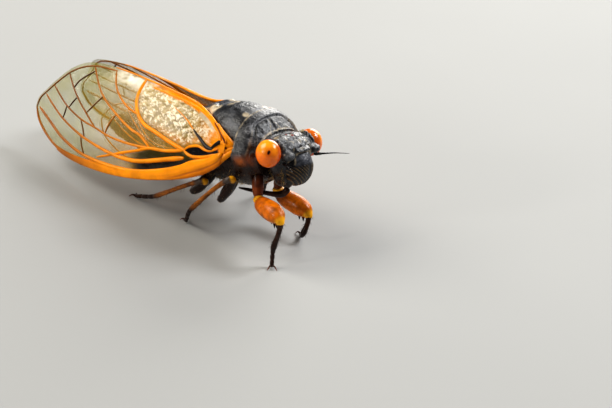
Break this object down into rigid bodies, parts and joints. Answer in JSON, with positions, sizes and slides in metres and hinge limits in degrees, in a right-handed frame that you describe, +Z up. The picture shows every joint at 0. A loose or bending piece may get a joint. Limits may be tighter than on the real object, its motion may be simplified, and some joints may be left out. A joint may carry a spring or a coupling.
{
  "type": "periodical cicada model",
  "caption": "Life-size museum-type model of a periodical cicada at rest with folded roof-like wings, standing on its feet.",
  "frame": {"origin": "centre of the model's footprint box, on the floor plane under the feet", "axes": "+X towards the head, +Y towards the insect's left, +Z up from the floor"},
  "size_m": [0.0374, 0.0146, 0.0134],
  "materials": {
    "black_shell": "satin charcoal-black body shell",
    "brown_shell": "satin red-brown shell",
    "orange_leg": "glossy orange-brown",
    "dark_leg": "glossy dark brown",
    "eye_orange": "glossy bright orange",
    "wing_orange": "clear membrane with orange veins in life; solid here"
  },
  "bodies": {
    "root": {"head": "black_shell", "eye_right": "eye_orange", "eye_left": "eye_orange", "antenna_right": "black_shell", "antenna_left": "black_shell", "rostrum": "brown_shell", "prothorax": "black_shell", "mesothorax": "black_shell", "abdomen": "black_shell", "tail_tip": "brown_shell", "forewing_right": "wing_orange", "forewing_left": "wing_orange", "hindwing_right": "wing_orange", "hindwing_left": "wing_orange", "coxa_front_right": "brown_shell", "femur_front_right": "orange_leg", "tibia_front_right": "dark_leg", "tarsus_front_right": "dark_leg", "coxa_front_left": "brown_shell", "femur_front_left": "orange_leg", "tibia_front_left": "dark_leg", "tarsus_front_left": "dark_leg", "coxa_middle_right": "brown_shell", "femur_middle_right": "orange_leg", "tibia_middle_right": "dark_leg", "tarsus_middle_right": "dark_leg", "coxa_middle_left": "brown_shell", "femur_middle_left": "orange_leg", "tibia_middle_left": "dark_leg", "tarsus_middle_left": "dark_leg", "coxa_hind_right": "brown_shell", "femur_hind_right": "orange_leg", "tibia_hind_right": "dark_leg", "tarsus_hind_right": "dark_leg", "coxa_hind_left": "brown_shell", "femur_hind_left": "orange_leg", "tibia_hind_left": "dark_leg", "tarsus_hind_left": "dark_leg"}
  },
  "joints": []
}
